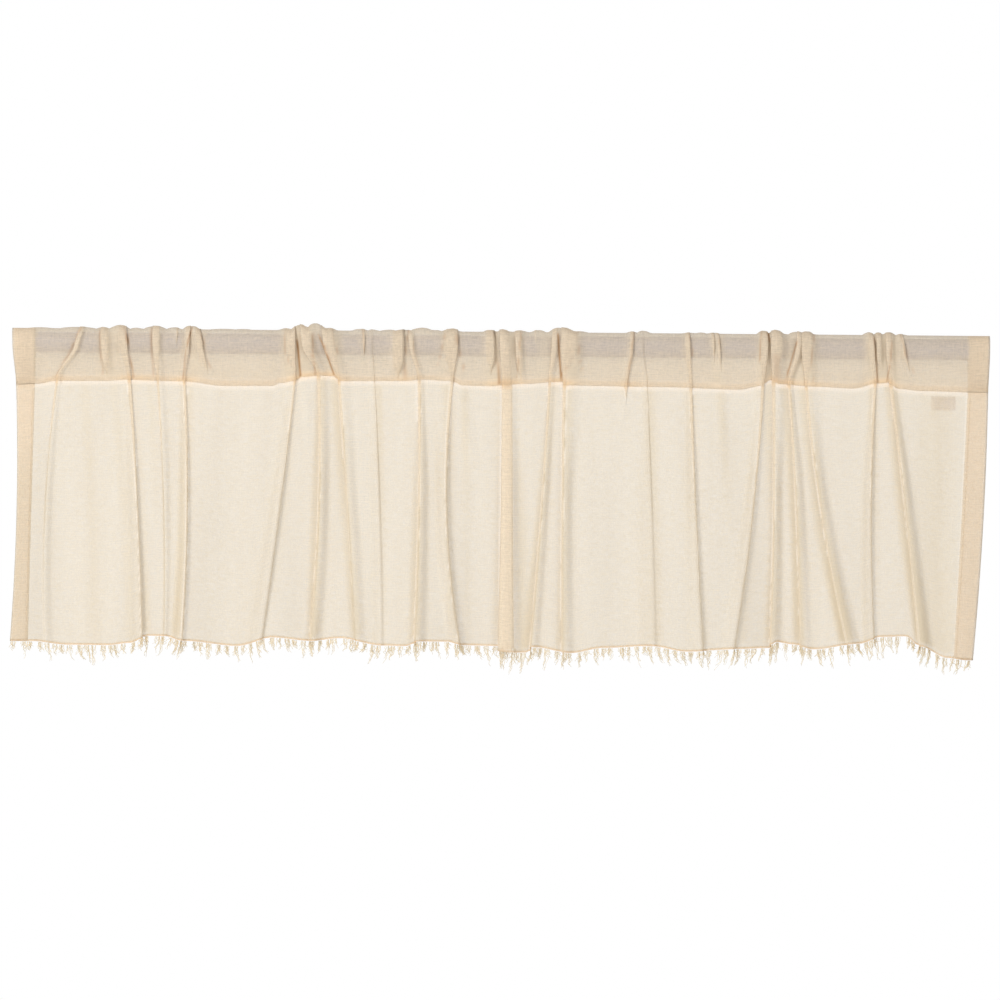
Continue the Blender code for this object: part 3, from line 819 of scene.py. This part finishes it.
def mark_cloth(mesh, rows, low_rows, side_columns):
    """Marks on the cloth's points how crowded its threads are, with painted shade added in soft bands beside
    the panel's folds; where it laps over itself and where it is turned in a hem, both with painted shade low
    in the left hem; painted shade where the gathers pinch it; and how warm its seam looks. The turned rows
    of the lower hem get sharp edges, so that they aren't shaded as one round bead."""
    wide = len(rows[0])
    left, right = side_columns[0], wide - side_columns[1]
    marks = {"crowded_and_shaded": [], "lapped": [], "hemmed": [], "pinch_shade": [], "seamed": []}
    sewn = low_rows + PANEL_ROWS
    top = sewn + POCKET_ROWS + TURN_FRONT_ROWS
    for r, row in enumerate(rows):
        # Painted shade: the hem and lap tints fade low in the left hem, darkening it downwards.
        left_hem_shaded_tint = mix(1.0, LEFT_HEM_LOW_SHADE, ease((LEFT_HEM_SHADE_FROM - row[0].z) / LEFT_HEM_SHADE_FADE))
        crowds_and_shade = crowding(row)
        laps = lapping(row)
        if low_rows < r < sewn:
            # Painted shade: soft bands beside the panel's folds add thread, which darkens the cloth.
            crowds_and_shade = [c + (1 - lap) * band_shade(p.x, p.z) for c, lap, p in zip(crowds_and_shade, laps, row)]
        elif r < low_rows:
            crowds_and_shade = [c * LOWER_HEM_CROWDS for c in crowds_and_shade]
        elif sewn < r <= top:
            crowds_and_shade = [c + (1 - lap) * bunched(p.x) for c, lap, p in zip(crowds_and_shade, laps, row)]
        marks["crowded_and_shaded"] += crowds_and_shade
        marks["lapped"] += [left_hem_shaded_tint * lap for lap in laps[:left]] + laps[left:]
        usual = 0.0
        if r < low_rows or r >= len(rows) - ALLOWANCE_ROWS - 1:
            usual = 1.0
        elif sewn <= r < sewn + SEWN_ROWS:
            usual = SEWN_TINT
        elif r >= sewn:
            usual = POCKET_TINT
        hems = [left_hem_shaded_tint] * left + [usual] * (right - left) + [1.0] * (wide - right)
        marks["hemmed"] += [max(tint, usual) for tint in hems]
        marks["pinch_shade"] += [pinch_shade(p.x, p.z) if sewn < r <= top else 0.0 for p in row]
        glow = SEAM_ROWS[r - sewn] if sewn <= r < sewn + len(SEAM_ROWS) else 0.0
        lower = LOWER_HEM_WARM if r < low_rows else 0.0
        marks["seamed"] += [glow * seam_glow(p.x) if glow else lower for p in row]
    for name, values in marks.items():
        mesh.attributes.new(name, "FLOAT", "POINT").data.foreach_set("value", values)
    for edge in mesh.edges:
        a, b = edge.vertices
        if a // wide == b // wide and a // wide <= low_rows:
            edge.use_edge_sharp = True


def grid_mesh(name, rows):
    """A smooth mesh of quads between rows of points. Its UV map is in metres: the place along the
    rod, and the way along the cloth from its hem."""
    wide = len(rows[0])
    points = [p * MM for row in rows for p in row]
    faces = []
    for r in range(len(rows) - 1):
        for c in range(wide - 1):
            a = r * wide + c
            faces.append((a, a + 1, a + wide + 1, a + wide))
    mesh = bpy.data.meshes.new(name)
    mesh.from_pydata(points, [], faces)
    along = [0.0]
    for low, high in zip(rows, rows[1:]):
        lengths = sorted((b - a).length for a, b in zip(low, high))
        along.append(along[-1] + lengths[wide // 2] * MM)
    layer = mesh.uv_layers.new(name="cut")
    for loop in mesh.loops:
        index = loop.vertex_index
        layer.data[loop.index].uv = (points[index].x, along[index // wide])
    mesh.shade_smooth()
    return mesh


def add_piece(name, mesh, look):
    """Puts a mesh in the scene with its material and slot, riding on the one body."""
    mesh.materials.append(look)
    made = bpy.data.objects.new(name, mesh)
    bpy.context.scene.collection.objects.link(made)
    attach(made, "root")
    return made


class Look:
    """A material's node tree, with short calls to add its nodes."""

    def __init__(self, name):
        self.material = bpy.data.materials.new(name)
        self.material.use_nodes = True
        self.tree = self.material.node_tree
        self.tree.nodes.clear()
        self.output = self.tree.nodes.new("ShaderNodeOutputMaterial")

    def set(self, socket, value):
        if isinstance(value, bpy.types.NodeSocket):
            self.tree.links.new(value, socket)
        else:
            socket.default_value = value

    def add(self, kind, values=(), settings=()):
        node = self.tree.nodes.new("ShaderNode" + kind)
        for name, value in dict(settings).items():
            setattr(node, name, value)
        for name, value in dict(values).items():
            self.set(node.inputs[name], value)
        return node

    def math(self, operation, a, b=0.0):
        node = self.add("Math", {0: a, 1: b}, {"operation": operation})
        return node.outputs[0]

    def spread(self, value, low, high):
        """A value from 0 to 1, spread from low to high."""
        node = self.add("MapRange", {"Value": value, "To Min": low, "To Max": high})
        return node.outputs["Result"]

    def blend(self, share, a, b):
        """A colour between a and b."""
        node = self.add("Mix", settings={"data_type": "RGBA"})
        self.set(node.inputs["Factor"], share)
        self.set(node.inputs[6], a)
        self.set(node.inputs[7], b)
        return node.outputs[2]

    def mark(self, name):
        """A value that mark_cloth has put on the cloth's points."""
        return self.add("Attribute", settings={"attribute_name": name}).outputs["Fac"]

    def mixed(self, share, first, second):
        """A shader that is the first at a share of 0 and the second at 1."""
        return self.add("MixShader", {0: share, 1: first.outputs[0], 2: second.outputs[0]})

    def coordinates(self, kind, scale=(1.0, 1.0, 1.0)):
        found = self.add("TexCoord").outputs[kind]
        return self.add("Mapping", {"Vector": found, "Scale": scale}).outputs["Vector"]

    def noise(self, vector, scale, detail=2.0):
        values = {"Vector": vector, "Scale": scale, "Detail": detail}
        return self.add("TexNoise", values).outputs["Fac"]

    def bump(self, height, strength, distance):
        values = {"Height": height, "Strength": strength, "Distance": distance}
        return self.add("Bump", values).outputs["Normal"]

    def shader(self, colour, roughness, normal=None, **more):
        values = {"Base Color": colour, "Roughness": roughness, **more}
        if normal is not None:
            values["Normal"] = normal
        return self.add("BsdfPrincipled", values)

    def finish(self, shader):
        self.tree.links.new(shader.outputs[0], self.output.inputs["Surface"])
        return self.material


def wave_scale(pitch):
    """The scale at which a wave texture repeats at a pitch in millimetres."""
    return 2 * pi / (WAVE_RADIANS * pitch * MM)


def wave(look, vector, direction, scale):
    values = {"Vector": vector, "Scale": scale, "Distortion": 0.5, "Detail": 1.0, "Detail Scale": 0.4}
    made = look.add("TexWave", values, {"wave_type": "BANDS", "bands_direction": direction})
    return made.outputs["Fac"]


def gauze_look():
    """Sheer plain weave: two sets of uneven threads with gaps between them, lit from both sides. It is
    closer where folds crowd it and in soft bands of painted shade beside them, paler where it is turned in a
    hem and carries dark painted shade where the gathers pinch it."""
    look = Look("gauze")
    cut = look.coordinates("UV")
    scale = wave_scale(WEAVE_PITCH)
    threads = look.math("MAXIMUM", wave(look, cut, "X", scale), wave(look, cut, "Y", scale))
    weft_slub = look.noise(look.coordinates("UV", WEFT_CELLS), 1.0, 3.0)
    warp_slub = look.noise(look.coordinates("UV", WARP_CELLS), 1.0, 3.0)
    speck = look.noise(cut, SPECK_CELLS, 3.0)
    slub = look.math("ADD", look.spread(weft_slub, 0.0, WEFT_SLUBS), look.spread(warp_slub, 0.0, WARP_SLUBS))
    uneven = look.math("ADD", slub, look.spread(speck, 0.0, SPECKS))
    cover = look.math("ADD", look.spread(threads, *THREAD_COVERS), look.spread(uneven, -UNEVEN, UNEVEN))
    kept = look.add("Clamp", {"Value": cover, "Min": COVER_LEAST, "Max": COVER_MOST}).outputs[0]
    # Painted shade: where the gathers pinch the cloth, this mark closes its gaps and darkens its colour.
    pinch_shade_mark = look.mark("pinch_shade")
    # The crowded mark counts closer threads, and with them painted shade in soft bands beside the panel's
    # folds.
    gap = look.math("POWER", look.math("SUBTRACT", 1.0, kept), look.mark("crowded_and_shaded"))
    gap = look.math("MULTIPLY", gap, look.math("SUBTRACT", 1.0, pinch_shade_mark))
    covered = look.math("SUBTRACT", 1.0, gap)
    streak = look.noise(look.coordinates("UV", STREAK_CELLS), 1.0, 3.0)
    tone = look.math("ADD", look.spread(streak, *STREAK_TONE), look.spread(speck, 0.0, SPECK_TONE))
    colour = look.blend(tone, GAUZE_COLOUR_WARM, GAUZE_COLOUR_PALE)
    colour = look.blend(look.mark("lapped"), colour, LAPPED_COLOUR)
    colour = look.blend(look.mark("hemmed"), colour, HEM_COLOUR)
    colour = look.blend(look.mark("seamed"), colour, SEAM_COLOUR)
    # Painted shade: dark brown where the gathers pinch the cloth.
    colour = look.blend(pinch_shade_mark, colour, PINCH_SHADE_COLOUR)
    weave = look.math("ADD", threads, uneven)
    sunk = look.math("SUBTRACT", weave, look.math("MULTIPLY", pinch_shade_mark, PINCH_SINK))
    normal = look.bump(sunk, *GAUZE_RELIEF)
    front = look.shader(colour, GAUZE_ROUGH, normal, **{"Specular IOR Level": COTTON_SHINE})
    through = look.add("BsdfTranslucent", {"Color": colour, "Normal": normal})
    both = look.mixed(SHINES_THROUGH, front, through)
    return look.finish(look.mixed(covered, look.add("BsdfTransparent"), both))


def yarn_look(name, pale, warm):
    """Twisted cotton yarn, with its twist as fine slanting ridges."""
    look = Look(name)
    place = look.coordinates("Object")
    twist = wave(look, place, "DIAGONAL", YARN_TWIST)
    tone = look.noise(place, YARN_CELLS)
    colour = look.blend(tone, warm, pale)
    normal = look.bump(look.math("ADD", twist, tone), *YARN_RELIEF)
    front = look.shader(colour, YARN_ROUGH, normal, **{"Specular IOR Level": COTTON_SHINE})
    both = look.mixed(YARN_SHINES_THROUGH, front, look.add("BsdfTranslucent", {"Color": colour}))
    return look.finish(look.mixed(YARN_OPEN, both, look.add("BsdfTransparent")))


def rod_look():
    """Satin paint over drawn steel: faint lines along the rod and a soft mottle."""
    look = Look("satin_rod")
    lines = look.noise(look.coordinates("Object", ROD_LINE_CELLS), 1.0, 3.0)
    mottle = look.noise(look.coordinates("Object"), ROD_MOTTLE_CELLS, 3.0)
    tone = look.math("MULTIPLY", look.math("ADD", lines, mottle), 0.5)
    colour = look.blend(tone, ROD_COLOUR_DARK, ROD_COLOUR_LIGHT)
    rough = look.spread(mottle, *ROD_ROUGH)
    normal = look.bump(lines, *ROD_RELIEF)
    return look.finish(look.shader(colour, rough, normal, Metallic=ROD_METALLIC))


def tape_look():
    """Blank woven tape with a fine rib."""
    look = Look("woven_tape")
    cut = look.coordinates("UV")
    rib = wave(look, cut, "Y", wave_scale(TAPE_RIB_PITCH))
    tone = look.spread(look.noise(cut, TAPE_CELLS), 0.0, TAPE_TONE)
    colour = look.blend(tone, TAPE_COLOUR, GAUZE_COLOUR_PALE)
    normal = look.bump(rib, *TAPE_RELIEF)
    front = look.shader(colour, TAPE_ROUGH, normal, **{"Sheen Weight": TAPE_SHEEN})
    both = look.mixed(TAPE_SHINES_THROUGH, front, look.add("BsdfTranslucent", {"Color": colour}))
    return look.finish(look.mixed(TAPE_OPEN, both, look.add("BsdfTransparent")))


def tube(points, faces, path, radii, sides):
    """Adds a round thread along a path to lists of points and faces."""
    first = len(points)
    for i, p in enumerate(path):
        way = (path[min(i + 1, len(path) - 1)] - path[max(i - 1, 0)]).normalized()
        side = way.orthogonal().normalized() if i == 0 else (side - way * side.dot(way)).normalized()
        other = way.cross(side)
        for k in range(sides):
            angle = 2 * pi * k / sides
            points.append((p + (side * cos(angle) + other * sin(angle)) * radii[i]) * MM)
    for i in range(len(path) - 1):
        a, b = first + i * sides, first + (i + 1) * sides
        for k in range(sides):
            n = (k + 1) % sides
            faces.append((a + k, a + n, b + n, b + k))
    faces.append(tuple(first + k for k in reversed(range(sides))))
    faces.append(tuple(first + (len(path) - 1) * sides + k for k in range(sides)))


def thread_mesh(name, points, faces):
    mesh = bpy.data.meshes.new(name)
    mesh.from_pydata(points, [], faces)
    mesh.shade_smooth()
    return mesh


def stitch_row(points, faces, line, facing):
    """Sews a row of straight stitches along a line of points, on the side that facing points to."""
    travelled, due = 0.0, 0.0
    start = None
    for a, b in zip(line, line[1:]):
        long = (b - a).length
        while due <= travelled + long:
            spot = a.lerp(b, (due - travelled) / long) + facing * STITCH_THICK
            if start is None:
                start, due = spot, due + STITCH_LONG
            else:
                middle = start.lerp(spot, 0.5) + facing * STITCH_THICK / 2
                thick = [STITCH_THICK, STITCH_THICK * STITCH_SWELLS, STITCH_THICK]
                tube(points, faces, [start, middle, spot], thick, STITCH_SIDES)
                start, due = None, due + STITCH_GAP
        travelled += long


def build_stitches(rows, look):
    """The sewing: across the pocket, down both side hems and along the lower hem."""
    points, faces = [], []
    front = Vector((0, -1, 0))
    pocket = 1 + PANEL_ROWS
    stitch_row(points, faces, rows[pocket], front)
    stitch_row(points, faces, rows[1], front)
    for column in (first_column("left_hem_side") - 1, first_column("right_hem_side") + 1):
        stitch_row(points, faces, [row[column] for row in rows[1:pocket]], front)
    return add_piece("sewing_thread", thread_mesh("sewing_thread", points, faces), look)


def build_fringe(hem, look):
    """Frayed yarns in locks that hang, lean, cross and curl below the hem, with loose ends between."""
    chance = Random(LOCK_SEED)
    points, faces = [], []
    whole = sum((b - a).length for a, b in zip(hem, hem[1:]))
    pitch = whole / LOCKS
    travelled, number = 0.0, 0
    for a, b in zip(hem, hem[1:]):
        long = (b - a).length
        while (number + 0.5) * pitch <= travelled + long:
            aside = chance.uniform(-LOCK_ASIDE, LOCK_ASIDE) * (b - a).normalized()
            root = a.lerp(b, ((number + 0.5) * pitch - travelled) / long) + aside
            grow_lock(points, faces, root, (b - a).normalized(), number, chance)
            number += 1
        travelled += long
    return add_piece("frayed_fringe", thread_mesh("frayed_fringe", points, faces), look)


def grow_lock(points, faces, root, along, number, chance):
    """One lock: its yarns start apart along the hem, meet below and curl past each other."""
    length = chance.uniform(*LOCK_LENGTH)
    sway = LOCK_LEAN_SWAYS * sin(number * LOCK_LEAN_TURNS)
    lean = LOCK_LEAN * (sway + chance.uniform(-LOCK_LEAN_EACH, LOCK_LEAN_EACH))
    tip = Vector((lean, chance.uniform(-LOCK_NOD, LOCK_NOD), -length))
    for _ in range(chance.choice(YARNS_IN_LOCK)):
        start = along * chance.uniform(-LOCK_SPREAD, LOCK_SPREAD)
        grow_yarn(points, faces, root, start, tip * chance.uniform(*YARN_REACH), chance)
    for _ in range(LOOSE_ENDS):
        start = along * chance.uniform(-LOCK_SPREAD, LOCK_SPREAD)
        aside = chance.uniform(-LOOSE_ASIDE, LOOSE_ASIDE)
        nod = chance.uniform(-LOOSE_NOD, LOOSE_NOD)
        end = start + Vector((aside, nod, -chance.uniform(*LOOSE_LENGTH)))
        grow_yarn(points, faces, root, start, end, chance)


def grow_yarn(points, faces, root, start, end, chance):
    """One yarn from its start to its end beside a root, hanging first and then swinging round."""
    curl = chance.uniform(*YARN_CURL)
    turns = chance.uniform(*YARN_TURNS)
    phase = chance.uniform(0, 2 * pi)
    path, radii = [], []
    for i in range(YARN_STEPS):
        t = i / (YARN_STEPS - 1)
        swing = curl * t
        angle = 2 * pi * turns * t + phase
        drift = Vector((mix(start.x, end.x, t * t), mix(start.y, end.y, t * t), mix(start.z, end.z, t)))
        path.append(root + drift + Vector((swing * sin(angle), swing * cos(angle), -YARN_RADIUS)))
        radii.append(YARN_RADIUS * mix(1.0, YARN_TIP, t))
    tube(points, faces, path, radii, YARN_SIDES)


def build_label(look):
    """A folded tape with two leaves, sewn by its upper edge to the back of the panel."""
    rows = []
    deep, turn = LABEL_DEEP, LABEL_TURN
    front = [(deep, 0), (deep / 2, 0), (turn, 0)]
    rear = [(turn, 1), (deep / 2, 1), (deep * LABEL_REAR, 1)]
    for down, leaf in front + [(0, 0.5)] + rear:
        row = []
        for i in range(LABEL_COLUMNS + 1):
            x = LABEL_LEFT + LABEL_WIDE * i / LABEL_COLUMNS
            z = LABEL_TOP - down
            share = (STITCH_LINE - z) / (STITCH_LINE - HEM_LINE)
            loose = LABEL_SWELL * ease(down / deep) * (1 + leaf)
            row.append(Vector((x, billow(x, share) + LABEL_BEHIND + LABEL_LEAF * leaf + loose, z)))
        rows.append(row)
    return add_piece("blank_label", grid_mesh("blank_label", rows), look)


def set_camera():
    """A level camera far in front, rolled as the photograph is."""
    scene = bpy.context.scene
    camera = bpy.data.objects.new("camera", bpy.data.cameras.new("camera"))
    scene.collection.objects.link(camera)
    right = PHOTO_WIDE / 2 - ROD_MIDDLE[0]
    down = PHOTO_WIDE / 2 - ROD_MIDDLE[1]
    x = (right + down * ROLL) * PIXEL * MM
    z = -(down - right * ROLL) * PIXEL * MM
    camera.location = (x, -CAMERA_FAR, z)
    camera.rotation_euler = (pi / 2, -ROLL, 0.0)
    camera.data.sensor_width = SENSOR
    camera.data.lens = SENSOR * CAMERA_FAR / (PHOTO_WIDE * PIXEL * MM)
    camera.data.clip_end = 100.0
    scene.camera = camera


def add_light(lamp):
    data = bpy.data.lights.new(lamp.name, "AREA")
    data.shape = "DISK"
    data.size = lamp.size
    data.energy = lamp.power
    light = bpy.data.objects.new(lamp.name, data)
    light.location = lamp.place
    aim = Vector(LAMPS_AIM) - Vector(lamp.place)
    light.rotation_euler = aim.to_track_quat("-Z", "Y").to_euler()
    light.visible_camera = False
    bpy.context.scene.collection.objects.link(light)


def set_stage():
    """A white room light, three soft lamps and a plain pale floor."""
    scene = bpy.context.scene
    scene.view_settings.view_transform = "Standard"
    world = bpy.data.worlds.new("white")
    scene.world = world
    world.use_nodes = True
    tree = world.node_tree
    tree.nodes.clear()
    output = tree.nodes.new("ShaderNodeOutputWorld")
    path = tree.nodes.new("ShaderNodeLightPath")
    both = tree.nodes.new("ShaderNodeMixShader")
    tree.links.new(path.outputs["Is Camera Ray"], both.inputs[0])
    for socket, strength in ((1, ROOM_LIGHT), (2, BACKDROP)):
        white = tree.nodes.new("ShaderNodeBackground")
        white.inputs["Color"].default_value = (1.0, 1.0, 1.0, 1.0)
        white.inputs["Strength"].default_value = strength
        tree.links.new(white.outputs[0], both.inputs[socket])
    tree.links.new(both.outputs[0], output.inputs[0])
    for lamp in LAMPS:
        add_light(lamp)
    place = (0, 0, FLOOR_HEIGHT)
    bpy.ops.mesh.primitive_circle_add(
        vertices=FLOOR_SIDES, radius=FLOOR_REACH, fill_type="NGON", location=place
    )
    floor = bpy.context.object
    floor.name = "floor"
    look = Look("pale_floor")
    tone = look.noise(look.coordinates("Object"), FLOOR_CELLS)
    colour = look.blend(tone, FLOOR_DARK, FLOOR_LIGHT)
    floor.data.materials.append(look.finish(look.shader(colour, FLOOR_ROUGH)))


def main():
    set_camera()
    set_stage()
    gauze = gauze_look()
    thread = yarn_look("sewing_cotton", THREAD_COLOUR, THREAD_COLOUR)
    yarn = yarn_look("frayed_yarn", YARN_COLOUR_PALE, YARN_COLOUR_WARM)
    rows = cloth_rows()
    hemmed, side_columns = with_side_hems(rows)
    whole = with_lower_hem(hemmed)
    cloth_mesh = grid_mesh("gauze_cloth", whole)
    mark_cloth(cloth_mesh, whole, len(DOUBLED), side_columns)
    cloth = add_piece("gauze_cloth", cloth_mesh, gauze)
    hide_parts("valance_cloth")
    stitches = build_stitches(rows, thread)
    fringe = build_fringe(rows[0], yarn)
    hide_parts("hem_fringe")
    label = build_label(tape_look())
    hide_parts("care_label")
    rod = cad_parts["curtain_rod"]
    rod_material = rod_look()
    for slot in rod.material_slots:
        slot.material = rod_material


main()
